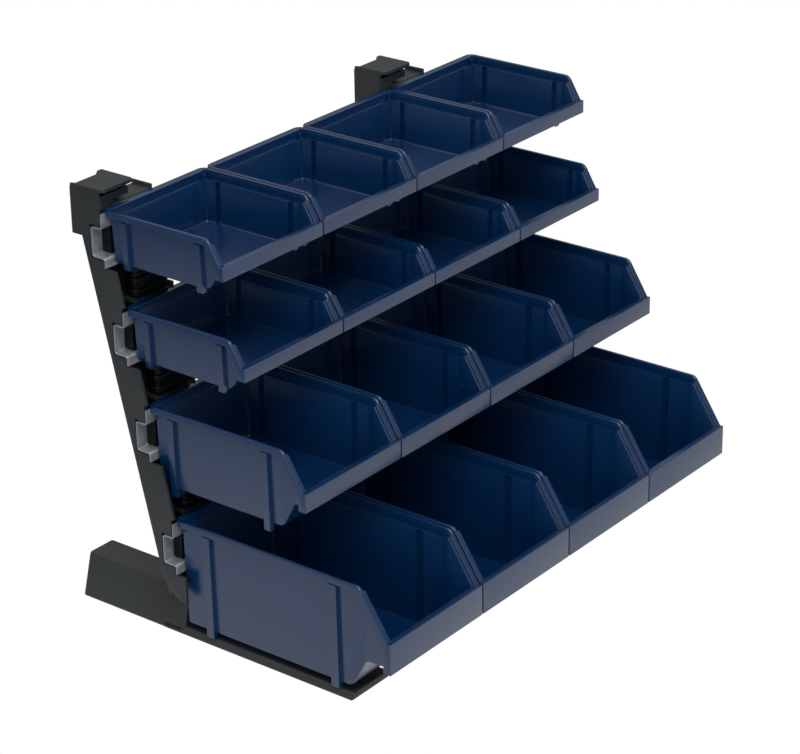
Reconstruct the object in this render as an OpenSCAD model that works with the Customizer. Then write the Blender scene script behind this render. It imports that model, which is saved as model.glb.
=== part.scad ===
// Bench rack: sixteen open-front bins hooked on four steel rails, carried by two
// leaning uprights on long feet. X runs along the rows, the bin fronts face -Y,
// Z is up. The origin is the middle of the footprint, on the bench.

/* [Rows] */
// Distance between the middles of neighbouring bins
bin_pitch = 105; // [100:0.5:115]
// Clear gap between neighbouring rims
bin_gap = 1.2; // [0.8:0.1:3]
// Height of the top row's rims above the bench
row1_z = 313.1; // [308:0.1:330]
// Drop from the top row's rims to the second row's
row2_drop = 68.4; // [64:0.1:74]
// Drop from the top row's rims to the third row's
row3_drop = 137; // [134:0.1:140]
// Drop from the top row's rims to the bottom row's
row4_drop = 219.2; // [216:0.1:221]
// How far the second row stands in front of the top row
row2_step = 15.5; // [14.5:0.1:17]
// How far the third row stands in front of the top row
row3_step = 31.5; // [30.5:0.1:33]
// How far the bottom row stands in front of the top row
row4_step = 51; // [50:0.1:53]

/* [Bin rims and walls] */
// Rim plate thickness, resting on the rail's lip
rim_t = 2.2; // [1.6:0.1:3]
// How far the level part of the front wall lies above the band's lower edge
shelf_up = 1.5; // [0.5:0.1:3.5]
// Height of the skirt that hangs from the rim
skirt_h = 5; // [4:0.1:5.1]
// Skirt thickness
skirt_t = 1.3; // [1:0.1:1.6]
// Side walls' distance in from the rim's edge
side_in = 4.5; // [4:0.1:6]
// Rear wall's distance in from the rim's edge, at the top
rear_in = 5; // [4.8:0.1:6]
// How much further in the rear wall stands at the bottom
rear_draft = 1; // [0.8:0.1:3]
// Wall and floor thickness
wall_t = 2; // [1.5:0.1:3]
// Front band thickness
band_t = 2.5; // [2:0.1:4]
// Rounding of the rim's rear corners, seen from above
rim_r = 6; // [4:0.5:9]
// How far the side ribs stand out of the side walls
rib_out = 2.9; // [2:0.1:3]

/* [Small bins, rows 1 and 2] */
// Depth over the rim, rear to front band
small_depth = 108; // [104:0.5:116]
// Where the rim starts to slope, from the rear
small_break = 95; // [88:0.5:98]
// Front band's top below the rim
small_band_z = 17.5; // [15:0.5:20]
// Front band's height
small_band_h = 10; // [10:0.5:14]
// Body height
small_body_h = 39; // [36:0.5:41]
// Where the floor ends and the front wall starts to slope, from the rear
small_toe = 90.5; // [84:0.5:92]
// Where the front wall turns level below the band, from the rear
small_knee = 100; // [97:0.5:103]
// Rear rib's start, from the rear
small_rib_a = 16.2; // [8:0.1:20]
// Front rib's start, from the rear
small_rib_b = 82; // [74:0.1:83]
// Rib length along the wall
small_rib_l = 5.4; // [4:0.1:6.5]

/* [Medium bins, row 3] */
// Depth over the rim, rear to front band
medium_depth = 141; // [138:0.5:150]
// Where the rim starts to slope, from the rear
medium_break = 121.5; // [116:0.5:126]
// Front band's top below the rim
medium_band_z = 27.3; // [24:0.1:29]
// Front band's height
medium_band_h = 14; // [12:0.5:15]
// Body height
medium_body_h = 60.5; // [57:0.5:62]
// Where the floor ends and the front wall starts to slope, from the rear
medium_toe = 117; // [110:0.5:119]
// Where the front wall turns level below the band, from the rear
medium_knee = 128; // [124:0.5:132]
// Rear rib's start, from the rear
medium_rib_a = 17.5; // [8:0.5:22]
// Front rib's start, from the rear
medium_rib_b = 101.8; // [94:0.1:103]
// Rib length along the wall
medium_rib_l = 5.8; // [4:0.1:8]

/* [Large bins, row 4] */
// Depth over the rim, rear to front band
large_depth = 191; // [186:0.5:200]
// Where the rim starts to slope, from the rear
large_break = 165; // [158:0.5:170]
// Front band's top below the rim
large_band_z = 36; // [34:0.1:38]
// Front band's height
large_band_h = 23.5; // [20:0.5:26]
// Body height
large_body_h = 82.5; // [78:0.5:83]
// Where the floor ends and the front wall starts to slope, from the rear
large_toe = 154; // [147:0.5:158]
// Where the front wall turns level below the band, from the rear
large_knee = 167; // [163:0.5:174]
// Rear rib's start, from the rear
large_rib_a = 25; // [14:0.5:30]
// Front rib's start, from the rear
large_rib_b = 137.6; // [128:0.1:139]
// Rib length along the wall
large_rib_l = 7.2; // [5:0.1:9]

/* [Stacking feet under the ribs] */
// How far the small and large bins' ribs reach below the floor
rib_drop = 4; // [3:0.1:5]
// How far the medium bins' ribs reach below the floor
medium_rib_drop = 5.5; // [4:0.1:7]

/* [Rails] */
// Sheet thickness of the rails
rail_t = 1.2; // [0.8:0.1:1.3]
// Front face of the rail's lip in front of the rims' rear edge
lip_y = 3.4; // [3.2:0.1:3.5]
// Height of the hooking lip above the rail's channel
lip_h = 10.3; // [9:0.1:11]
// Height of the rail's channel
channel_h = 22.5; // [20:0.5:24]
// Rear face of the rail behind the rims' rear edge
web_y = 7.2; // [6:0.1:7.6]
// Front face of the lower lip in front of the rims' rear edge
low_lip_y = 5.2; // [4.8:0.1:5.3]
// Height of the lower lip
low_lip_h = 6; // [4:0.5:7]
// How far a rail reaches past the outer bins' cells
rail_over = 3; // [2:0.5:5]
// Clearance between a rail's lip and the slots in the bins' skirts
lip_play = 0.5; // [0.3:0.1:0.9]
// How far the black pieces reach in front of the rims' rear edge
clip_in = 2.3; // [1:0.1:3.3]
// Clearance above and below the black pieces in the rails
clip_play = 0.8; // [0.3:0.1:2]
// Left end of the black pieces from the upright's side plate
clip_x = 6.5; // [2:0.5:12]

/* [Uprights] */
// Distance between the two uprights
upright_gap = 308.5; // [300:0.5:311]
// Thickness of the notched side plate
cheek_t = 2.5; // [2:0.1:2.5]
// Front edge of the side plate in front of the top row's rims, at rim height
cheek_y = 3.2; // [2:0.1:4]
// Lean of the upright, run over rise
lean = 0.2373; // [0.232:0.0001:0.24]
// Width of the side plate, front to rear
cheek_w = 24.4; // [24:0.1:27]
// Thickness of the rear web
web_t = 3; // [2:0.1:3.5]
// Width of the rear web from the side plate
web_w = 53; // [52:0.5:58]
// Rear end of the rail notches behind the rims' rear edge
notch_y = 8.4; // [8:0.1:9.5]
// Lower edge of the side plates above the bench
cheek_z = 31; // [28:0.5:36]
// Rounding of the side plate's lower rear corner
cheek_r = 10; // [6:0.5:12]
// Lower front edge of the side plates in front of the bottom row's rims
cheek_front = 12; // [9:0.5:18]
// Clearance between the notches and the rails
notch_play = 1; // [0.5:0.1:1.1]
// Room above the rims where a row runs past the right upright
relief_up = 12; // [11:0.5:14]
// Room below the bins where a row runs past the right upright
relief_down = 1; // [0.5:0.1:3]
// Radius of the screw bosses behind the web
boss_r = 5.5; // [5:0.1:5.6]
// How far the screw bosses stand out behind the web
boss_out = 3.4; // [2.5:0.1:5]
// Thickness of the plate that stands on the foot
base_t = 3; // [2:0.1:5]
// How far that plate reaches behind the web
base_rear = 20; // [14:0.5:26]
// Depth of the stiffening rib behind the web
stiff_d = 6; // [3:0.5:10]

/* [Caps] */
// Top of the cap above the top row's rims
cap_up = 15.3; // [14.5:0.1:20]
// Bottom of the cap below the top row's rims
cap_down = 21.6; // [14:0.1:22]
// Cap width
cap_w = 32; // [28:0.5:40]
// Front edge of the cap's plate in front of the rims' rear edge
cap_front = 5; // [2:0.5:6]
// Rear face of the cap behind the rims' rear edge
cap_rear = 25.2; // [24.6:0.1:28]
// Cap wall thickness
cap_t = 3; // [2:0.1:3.5]
// Rounding of the cap's front corner, seen from above
cap_r = 6; // [2:0.5:8]
// Height of the web's tongue inside the cap
tongue_h = 15; // [8:0.5:16]
// Clearance between the cap's gusset and the holder
cap_play = 0.3; // [0.3:0.1:1]

/* [Rail holders and rings] */
// Left wall of the holder from the upright's side plate
holder_x = 12; // [8:0.5:14]
// Holder wall thickness
holder_t = 2; // [1.5:0.1:3]
// Top of the holder's walls above the rims
holder_up = 2.6; // [1:0.1:4]
// Front of the holders behind the rims' rear edge
holder_y = 0.6; // [0.5:0.1:1]
// Height of one ring
ring_h = 8.8; // [6:0.1:8.8]
// Depth of a ring, front to rear
ring_d = 12.2; // [10:0.1:12.4]
// Width of a ring
ring_w = 36; // [30:0.5:36.5]
// Depth of the groove between two rings
ring_c = 1.6; // [0.8:0.1:2.5]
// Height of the groove between two rings
ring_groove = 3.5; // [2:0.1:4.5]

/* [Feet] */
// Foot width on the bench
foot_w = 42; // [40:0.5:46]
// Foot width at the top
foot_top_w = 23.5; // [22:0.5:28]
// Foot's middle from the upright's side plate
foot_x = 24.5; // [24:0.5:26]
// Foot height behind the bins
foot_h = 33.4; // [32:0.1:36]
// Clearance between the low front bars and the bottom row's bins
foot_play = 0.7; // [0.5:0.1:1.5]
// Front end of the foot in front of the top row's rims
foot_front = 206; // [190:0.5:212]
// Rear end of the foot behind the top row's rims
foot_rear = 45; // [40:0.5:50]
// Front end of the high part in front of the top row's rims
foot_step = 53; // [52:0.1:54]
// Rounding of the foot's front corners
foot_r = 3; // [1:0.5:6]
// Rubber pad height
pad_h = 0.8; // [0.6:0.1:1.2]
// Rubber pad radius
pad_r = 9; // [6:0.5:12]

/* [Screws] */
// Radius of the rail screws' shanks
screw_r = 2; // [1.5:0.1:2.5]
// Radius of the rail screws' heads
screw_head_r = 4; // [3.5:0.1:5]
// Height of the screw heads
screw_head_h = 2.6; // [2:0.1:4]
// Clearance round the screw shanks
screw_play = 0.3; // [0.2:0.05:0.4]
// Rail screws' distance in from the holder's ends
screw_in = 10; // [7:0.5:14]
// Foot screws' distance from the foot's middle
foot_screw_in = 7; // [6:0.1:7.5]
// Radius of the foot screws' shanks
foot_screw_r = 2.5; // [2:0.1:3]
// Radius of the foot screws' heads
foot_screw_head_r = 5; // [4:0.1:6]

/* [Hidden] */
$fn = 48;

navy = [0.13, 0.17, 0.27];
dark = [0.13, 0.13, 0.14];
black = [0.05, 0.05, 0.055];
steel = [0.72, 0.73, 0.74];

row_len = 4 * bin_pitch;
rim_w = bin_pitch - bin_gap;
body_w = rim_w - 2 * side_in;
inner_w = body_w - 2 * wall_t;
rail_len = row_len + 2 * rail_over;
shift_y = (row4_step + large_depth - foot_rear) / 2;
drops = [0, row2_drop, row3_drop, row4_drop];
steps = [0, row2_step, row3_step, row4_step];
over = 1;
channel_z = -rim_t - lip_h;
low_z = channel_z - channel_h;
screw_z = channel_z - channel_h / 2;
screw_xs = [holder_x + screw_in, web_w - screw_in];
cap_z = row1_z - cap_down;
ring_counts = [0, 3, 3, 2];
bin_lows = [small_body_h + rib_drop, small_body_h + rib_drop, medium_body_h + medium_rib_drop,
            large_body_h + rib_drop];

function row_z(k) = row1_z - drops[k];
function row_y(k) = -steps[k];
// Front edge of the upright's side plate at a height over the bench
function front_at(z) = -cheek_y - (row1_z - z) * lean;
function rear_at(z) = front_at(z) + cheek_w;
function web_at(z) = rear_at(z) - web_t;

// Places things given from the left end of the rails and the top row's rims
module rack() translate([-rail_len / 2, shift_y, 0]) children();

// Puts things drawn for the left upright at the left or the right upright
module at_side(right) translate([rail_over + (right ? upright_gap : 0), 0, 0]) children();

// Extrudes an outline drawn in Y and Z along X
module along_x(x0, x1) translate([x0, 0, 0]) rotate([90, 0, 90]) linear_extrude(x1 - x0) children();

// ---- bins ----

// Side outline of the rim, a given thickness deep
function rim_outline(depth, brk, band_z, t) =
    let (a = depth - band_t - brk, n = norm([a, band_z]))
    [[0, 0], [-brk, 0], [-brk - a, -band_z], [-brk - a, -band_z - t * n / a],
     [-brk + t * (n - a) / band_z, -t], [0, -t]];

// Side outline of the body, which reaches halfway into the front band
function body_outline(depth, brk, band_z, shelf_z, body_h, toe, knee) =
    [[-rear_in, 0], [-brk, 0], [band_t - depth, -band_z], [band_t / 2 - depth, -band_z],
     [band_t / 2 - depth, -shelf_z], [-knee, -shelf_z], [-toe, -body_h],
     [-rear_in - rear_draft, -body_h]];

// Side outline of the space inside, one wall thickness within the body
function inner_outline(depth, shelf_z, body_h, toe, knee) =
    let (dx = knee - toe, dz = body_h - shelf_z, n = norm([dx, dz]),
         in = wall_t * (dz / n - dx * (1 - dx / n) / dz))
    [[-rear_in - wall_t, over], [-rear_in - rear_draft - wall_t, wall_t - body_h],
     [in - toe, wall_t - body_h], [in - knee, wall_t - shelf_z],
     [band_t - depth, wall_t - shelf_z], [band_t - depth, over]];

// The rim's outline from above, set in by a distance
module rim_plan(depth, inset) {
    r = rim_r - inset;
    w = rim_w - 2 * inset;
    translate([0, -inset, -depth]) linear_extrude(2 * depth) {
        translate([-w / 2 + r, -r - over]) square([w - 2 * r, r + over]);
        translate([-w / 2, -depth]) square([w, depth - r]);
        translate([-w / 2 + r, -r]) circle(r);
        translate([w / 2 - r, -r]) circle(r);
    }
}

module rim(depth, brk, band_z) {
    intersection() {
        along_x(-rim_w / 2, rim_w / 2) polygon(rim_outline(depth, brk, band_z, rim_t));
        rim_plan(depth, 0);
    }
    difference() {
        intersection() {
            along_x(-rim_w / 2, rim_w / 2) polygon(rim_outline(depth, brk, band_z, skirt_h));
            rim_plan(depth, 0);
        }
        rim_plan(depth, skirt_t);
        translate([-rim_w / 2 - over, -lip_y - lip_play, -skirt_h - over])
            cube([rim_w + 2 * over, rail_t + 2 * lip_play, skirt_h + over - rim_t]);
    }
}

module bin_ribs(body_h, rib_a, rib_b, rib_l, drop) {
    for (side = [-1, 1], start = [rib_a, rib_b])
        translate([side * (body_w / 2 + rib_out / 2 - wall_t / 2), -start - rib_l / 2,
                   -(body_h + drop + rim_t) / 2])
            cube([rib_out + wall_t, rib_l, body_h + drop - rim_t], center = true);
}

module bin(depth, brk, band_z, band_h, body_h, toe, knee, rib_a, rib_b, rib_l, drop) {
    shelf_z = band_z + band_h - shelf_up;
    difference() {
        union() {
            rim(depth, brk, band_z);
            along_x(-body_w / 2, body_w / 2)
                polygon(body_outline(depth, brk, band_z, shelf_z, body_h, toe, knee));
            translate([-rim_w / 2, -depth, -band_z - band_h]) cube([rim_w, band_t, band_h]);
            bin_ribs(body_h, rib_a, rib_b, rib_l, drop);
        }
        along_x(-inner_w / 2, inner_w / 2)
            polygon(inner_outline(depth, shelf_z, body_h, toe, knee));
    }
}

module small_bin() {
    bin(small_depth, small_break, small_band_z, small_band_h, small_body_h, small_toe,
        small_knee, small_rib_a, small_rib_b, small_rib_l, rib_drop);
}

module medium_bin() {
    bin(medium_depth, medium_break, medium_band_z, medium_band_h, medium_body_h, medium_toe,
        medium_knee, medium_rib_a, medium_rib_b, medium_rib_l, medium_rib_drop);
}

module large_bin() {
    bin(large_depth, large_break, large_band_z, large_band_h, large_body_h, large_toe,
        large_knee, large_rib_a, large_rib_b, large_rib_l, rib_drop);
}

module bin_at(row, col) {
    color(navy) rack() translate([rail_over + bin_pitch * (col - 0.5), row_y(row - 1), row_z(row - 1)])
        if (row < 3) small_bin();
        else if (row == 3) medium_bin();
        else large_bin();
}

module bin_r1_c1() bin_at(1, 1);
module bin_r1_c2() bin_at(1, 2);
module bin_r1_c3() bin_at(1, 3);
module bin_r1_c4() bin_at(1, 4);
module bin_r2_c1() bin_at(2, 1);
module bin_r2_c2() bin_at(2, 2);
module bin_r2_c3() bin_at(2, 3);
module bin_r2_c4() bin_at(2, 4);
module bin_r3_c1() bin_at(3, 1);
module bin_r3_c2() bin_at(3, 2);
module bin_r3_c3() bin_at(3, 3);
module bin_r3_c4() bin_at(3, 4);
module bin_r4_c1() bin_at(4, 1);
module bin_r4_c2() bin_at(4, 2);
module bin_r4_c3() bin_at(4, 3);
module bin_r4_c4() bin_at(4, 4);

// ---- screws ----

// Holes or shanks of one row's rail screws, along Y
module rail_shanks(k, r, y0, y1) {
    for (x = screw_xs)
        translate([x, row_y(k) + y1, row_z(k) + screw_z]) rotate([90, 0, 0])
            cylinder(h = y1 - y0, r = r);
}

// Rear face of the upright's screw bosses, behind the row's rims
function boss_y(k) = rear_at(row_z(k) + screw_z) - row_y(k) + boss_out;

module rail_screws(right) {
    color(steel) rack() at_side(right) for (k = [0:3]) {
        rail_shanks(k, screw_r, -clip_in + rail_t, boss_y(k));
        rail_shanks(k, screw_head_r, boss_y(k), boss_y(k) + screw_head_h);
    }
}

module rail_screws_left() rail_screws(false);
module rail_screws_right() rail_screws(true);

module foot_shanks(r, z0, z1) {
    for (side = [-1, 1])
        translate([foot_x + side * foot_screw_in, web_at(foot_h) + base_rear / 2 + web_t, z0])
            cylinder(h = z1 - z0, r = r);
}

module foot_screws(right) {
    color(steel) rack() at_side(right) {
        foot_shanks(foot_screw_r, foot_h / 2, foot_h + base_t);
        foot_shanks(foot_screw_head_r, foot_h + base_t, foot_h + base_t + screw_head_h);
    }
}

module foot_screws_left() foot_screws(false);
module foot_screws_right() foot_screws(true);

// ---- rails ----

rail_outline = [[-lip_y, -rim_t], [rail_t - lip_y, -rim_t], [rail_t - lip_y, channel_z],
                [web_y, channel_z], [web_y, low_z], [rail_t - low_lip_y, low_z],
                [rail_t - low_lip_y, low_z - low_lip_h], [-low_lip_y, low_z - low_lip_h],
                [-low_lip_y, low_z + rail_t], [web_y - rail_t, low_z + rail_t],
                [web_y - rail_t, channel_z - rail_t], [-lip_y, channel_z - rail_t]];

module rail(k) {
    color(steel) rack() difference() {
        translate([0, row_y(k), row_z(k)]) along_x(0, rail_len) polygon(rail_outline);
        for (right = [false, true])
            at_side(right) rail_shanks(k, screw_r + screw_play, 0, web_y + over);
    }
}

module rail_row1() rail(0);
module rail_row2() rail(1);
module rail_row3() rail(2);
module rail_row4() rail(3);

// Black pieces inside the rails' channels, one at each crossing
module clips(right) {
    color(black) rack() at_side(right) for (k = [0:3]) difference() {
        translate([clip_x, row_y(k) - clip_in, row_z(k) + low_z + rail_t + clip_play])
            cube([web_w - clip_x, web_y - rail_t + clip_in, channel_h - 2 * rail_t - 2 * clip_play]);
        rail_shanks(k, screw_r + screw_play, -clip_in - over, web_y);
    }
}

module clips_left() clips(false);
module clips_right() clips(true);

// Rail holders: a block behind each rail, a shelf over its channel and two walls
module holder_block(k, x0, x1, z1) {
    z0 = low_z + over;
    shelf = channel_z + over;
    y = row_y(k);
    z = row_z(k);
    along_x(x0, x1)
        polygon([[y + web_y, z + z0], [web_at(z + z0), z + z0], [web_at(z + z1), z + z1],
                 [y + holder_y, z + z1], [y + holder_y, z + shelf], [y + web_y, z + shelf]]);
}

module holders(right) {
    color(black) rack() at_side(right) for (k = [0:3]) difference() {
        union() {
            holder_block(k, holder_x, web_w, 0);
            holder_block(k, holder_x, holder_x + holder_t, holder_up);
            holder_block(k, web_w - holder_t, web_w, holder_up);
        }
        rail_shanks(k, screw_r + screw_play, 0, cheek_w + over);
    }
}

module holders_left() holders(false);
module holders_right() holders(true);

// One ring with rounded ends
module ring_disc(r, h, x) {
    for (side = [-1, 1]) translate([side * x, 0, 0]) cylinder(h = h, r = r);
    translate([-x, -r, 0]) cube([2 * x, 2 * r, h]);
}

module rings(right) {
    r = ring_d / 2;
    x = ring_w / 2 - r;
    middle = (holder_x + web_w) / 2;
    color(black) rack() at_side(right) for (k = [1:3])
        translate([middle, row_y(k) + holder_y + r, row_z(k)]) {
            ring_disc(r - ring_c, ring_h * ring_counts[k], x);
            for (i = [0:ring_counts[k] - 1])
                translate([0, 0, ring_h * i + ring_groove / 2]) ring_disc(r, ring_h - ring_groove, x);
        }
}

module rings_left() rings(false);
module rings_right() rings(true);

// ---- uprights and caps ----

// Room for the rails in a side plate, and for the rims where a row runs past it
module rail_notches(right) {
    for (k = [0:3]) translate([0, row_y(k), row_z(k)]) {
        along_x(-cheek_t - over, over)
            polygon([[-cheek_w, notch_play], [-cheek_w, low_z - low_lip_h - notch_play],
                     [rail_t + notch_play - low_lip_y, low_z - low_lip_h - notch_play],
                     [rail_t + notch_play - low_lip_y, low_z - notch_play],
                     [notch_y, low_z - notch_play], [notch_y, channel_z + notch_play],
                     [rail_t + notch_play - lip_y, channel_z + notch_play],
                     [rail_t + notch_play - lip_y, notch_play]]);
        if (right) translate([-cheek_t - over, -2 * cheek_w, -bin_lows[k] - relief_down])
            cube([cheek_t + 2 * over, 2 * cheek_w + holder_y, relief_up + bin_lows[k] + relief_down]);
    }
}

// Side plate with its upright lower front edge and its rounded lower rear corner
module cheek_plate(z1) {
    z0 = cheek_z;
    zc = z0 + cheek_r;
    y0 = max(-row4_step - cheek_front, front_at(z0));
    lean_z = row1_z + (y0 + cheek_y) / lean;
    difference() {
        along_x(-cheek_t, 0)
            polygon([[y0, z0], [rear_at(z0), z0], [rear_at(z1), z1], [front_at(z1), z1], [y0, lean_z]]);
        difference() {
            along_x(-cheek_t - over, over)
                polygon([[rear_at(z0) - cheek_r, z0 - over], [rear_at(z0) + over, z0 - over],
                         [rear_at(zc) + over, zc], [rear_at(zc) - cheek_r, zc]]);
            translate([-cheek_t - over, rear_at(zc) - cheek_r, zc]) rotate([0, 90, 0])
                cylinder(h = cheek_t + 2 * over, r = cheek_r);
        }
    }
}

module upright(right) {
    z0 = foot_h;
    tongue_z = cap_z + tongue_h;
    color(dark) rack() at_side(right) difference() {
        union() {
            difference() {
                cheek_plate(cap_z);
                rail_notches(right);
            }
            along_x(0, web_w)
                polygon([[web_at(z0), z0], [rear_at(z0), z0],
                         [rear_at(cap_z), cap_z], [web_at(cap_z), cap_z]]);
            along_x(cap_t, cap_w - 2 * cap_t)
                polygon([[web_at(cap_z), cap_z], [rear_at(cap_z), cap_z],
                         [rear_at(tongue_z), tongue_z], [web_at(tongue_z), tongue_z]]);
            along_x(web_w - web_t, web_w)
                polygon([[rear_at(z0), z0], [rear_at(z0) + stiff_d, z0],
                         [rear_at(cap_z) + stiff_d, cap_z], [rear_at(cap_z), cap_z]]);
            translate([foot_x - foot_top_w / 2, web_at(z0), z0])
                cube([foot_top_w, base_rear + web_t, base_t]);
            for (k = [0:3], x = screw_xs)
                translate([x, row_y(k) + boss_y(k), row_z(k) + screw_z]) rotate([90, 0, 0])
                    cylinder(h = boss_out + web_t / 2, r = boss_r);
        }
        for (k = [0:3]) rail_shanks(k, screw_r + screw_play, 0, 2 * cheek_w);
        foot_shanks(foot_screw_r + screw_play, z0 - over, z0 + base_t + over);
    }
}

module upright_left() upright(false);
module upright_right() upright(true);

// The cap's top plate from above
module cap_plan() {
    x0 = -cheek_t;
    translate([x0 + cap_r, cap_r - cap_front]) circle(cap_r);
    translate([x0 + cap_r, -cap_front]) square([cap_w - cheek_t - cap_r, cap_r]);
    translate([x0, cap_r - cap_front]) square([cap_w - cheek_t, cap_rear + cap_front - cap_r]);
}

module cap(right) {
    top = row1_z + cap_up;
    wall_z = row1_z + holder_up + cap_play;
    gusset_y = web_at(wall_z) + cap_play;
    color(dark) rack() at_side(right) difference() {
        union() {
            along_x(-cheek_t, 0)
                polygon([[front_at(cap_z), cap_z], [cap_rear, cap_z],
                         [cap_rear, top], [front_at(top), top]]);
            along_x(-cheek_t, cap_w - cap_t)
                polygon([[cap_rear - cap_t, cap_z], [cap_rear, cap_z],
                         [cap_rear, top], [cap_rear - cap_t, top]]);
            along_x(cap_w - 2 * cap_t, cap_w - cap_t)
                polygon([[gusset_y, cap_z], [cap_rear, cap_z], [cap_rear, top], [holder_y, top],
                         [holder_y, wall_z], [gusset_y, wall_z]]);
            translate([0, 0, top - cap_t]) linear_extrude(cap_t) cap_plan();
        }
        rail_notches(right);
    }
}

module cap_left() cap(false);
module cap_right() cap(true);

// ---- feet ----

// The foot's section over its full width, up to a height
module foot_section(z1) {
    half = foot_w / 2;
    inset = (foot_w - foot_top_w) / 2 * (z1 - pad_h) / (foot_h - pad_h);
    polygon([[foot_x - half, pad_h], [foot_x + half, pad_h],
             [foot_x + half - inset, z1], [foot_x - half + inset, z1]]);
}

// The foot's outline from above, with its rounded front corners
module foot_plan() {
    x0 = foot_x - foot_w / 2;
    translate([x0, foot_r - foot_front]) square([foot_w, foot_front + foot_rear - foot_r]);
    translate([x0 + foot_r, -foot_front]) square([foot_w - 2 * foot_r, foot_r]);
    for (x = [x0 + foot_r, x0 + foot_w - foot_r])
        translate([x, foot_r - foot_front]) circle(foot_r);
}

module foot(right) {
    bar_z = row_z(3) - bin_lows[3] - foot_play;
    color(dark) rack() at_side(right) difference() {
        union() {
            intersection() {
                translate([0, foot_rear, 0]) rotate([90, 0, 0])
                    linear_extrude(foot_front + foot_rear) foot_section(bar_z);
                linear_extrude(bar_z) foot_plan();
            }
            translate([0, foot_rear, 0]) rotate([90, 0, 0])
                linear_extrude(foot_rear + foot_step) foot_section(foot_h);
        }
        foot_shanks(foot_screw_r + screw_play, foot_h / 2 - over, foot_h + over);
    }
}

module foot_left() foot(false);
module foot_right() foot(true);

module pads(right) {
    color(black) rack() at_side(right)
        for (y = [foot_r + pad_r - foot_front, foot_rear - 2 * pad_r, -foot_step])
            translate([foot_x, y, 0]) cylinder(h = pad_h, r = pad_r);
}

module pads_left() pads(false);
module pads_right() pads(true);

foot_left();
foot_right();
pads_left();
pads_right();
upright_left();
upright_right();
cap_left();
cap_right();
holders_left();
holders_right();
rings_left();
rings_right();
clips_left();
clips_right();
rail_screws_left();
rail_screws_right();
foot_screws_left();
foot_screws_right();
rail_row1();
rail_row2();
rail_row3();
rail_row4();
bin_r1_c1();
bin_r1_c2();
bin_r1_c3();
bin_r1_c4();
bin_r2_c1();
bin_r2_c2();
bin_r2_c3();
bin_r2_c4();
bin_r3_c1();
bin_r3_c2();
bin_r3_c3();
bin_r3_c4();
bin_r4_c1();
bin_r4_c2();
bin_r4_c3();
bin_r4_c4();
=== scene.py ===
import math

import bmesh
import bpy
from mathutils import Matrix, Vector


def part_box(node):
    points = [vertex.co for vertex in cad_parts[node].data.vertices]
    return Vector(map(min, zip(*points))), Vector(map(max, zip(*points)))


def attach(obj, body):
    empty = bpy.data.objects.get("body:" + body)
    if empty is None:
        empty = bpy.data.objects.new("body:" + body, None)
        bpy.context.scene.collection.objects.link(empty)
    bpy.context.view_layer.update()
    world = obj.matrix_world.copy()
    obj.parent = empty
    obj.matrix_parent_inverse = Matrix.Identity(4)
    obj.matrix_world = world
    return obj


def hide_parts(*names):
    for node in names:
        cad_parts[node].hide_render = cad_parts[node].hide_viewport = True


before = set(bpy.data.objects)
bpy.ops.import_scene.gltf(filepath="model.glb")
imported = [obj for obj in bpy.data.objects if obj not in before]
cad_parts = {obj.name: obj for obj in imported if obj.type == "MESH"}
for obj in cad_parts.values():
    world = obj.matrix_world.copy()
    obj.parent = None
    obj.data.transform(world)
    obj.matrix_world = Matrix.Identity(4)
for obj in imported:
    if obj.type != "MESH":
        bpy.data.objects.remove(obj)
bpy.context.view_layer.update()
mm = 0.001


class Sock:
    def __init__(self, tree, out):
        self.tree, self.out = tree, out

    def put(self, socket, value):
        if isinstance(value, Sock):
            self.tree.links.new(value.out, socket)
        else:
            socket.default_value = value

    def node(self, kind, values=None, out=0, **settings):
        n = self.tree.nodes.new(kind)
        for k, v in settings.items():
            setattr(n, k, v)
        for k, v in (values or {}).items():
            self.put(n.inputs[k], v)
        return Sock(self.tree, n.outputs[out])

    def math(self, op, a, b=0.0, c=0.0):
        return self.node("ShaderNodeMath", {0: a, 1: b, 2: c}, operation=op)

    def __add__(self, o):
        return self.math("ADD", self, o)

    __radd__ = __add__

    def __mul__(self, o):
        return self.math("MULTIPLY", self, o)

    __rmul__ = __mul__

    def __sub__(self, o):
        return self.math("SUBTRACT", self, o)

    def __rsub__(self, o):
        return self.math("SUBTRACT", o, self)

    def __gt__(self, o):
        return self.math("GREATER_THAN", self, o)

    def clamp(self):
        return self.node("ShaderNodeClamp", {"Value": self})

    def span(self, lo, hi, a=0.0, b=1.0):
        return self.node("ShaderNodeMapRange",
                         {"Value": self, "From Min": lo, "From Max": hi, "To Min": a, "To Max": b})


def newMaterial(name):
    m = bpy.data.materials.new(name)
    m.use_nodes = True
    t = m.node_tree
    t.nodes.clear()
    out = t.nodes.new("ShaderNodeOutputMaterial")
    bsdf = t.nodes.new("ShaderNodeBsdfPrincipled")
    t.links.new(bsdf.outputs[0], out.inputs[0])
    coord = t.nodes.new("ShaderNodeTexCoord")
    return m, bsdf, Sock(t, coord.outputs["Object"])


def mixColor(s, fac, a, b):
    return s.node("ShaderNodeMix", {"Factor": fac, "A": a, "B": b}, out="Result", data_type="RGBA")


def noise(s, scale, detail=2.0, rough=0.5):
    return s.node("ShaderNodeTexNoise", {"Vector": s, "Scale": scale, "Detail": detail, "Roughness": rough})


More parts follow.
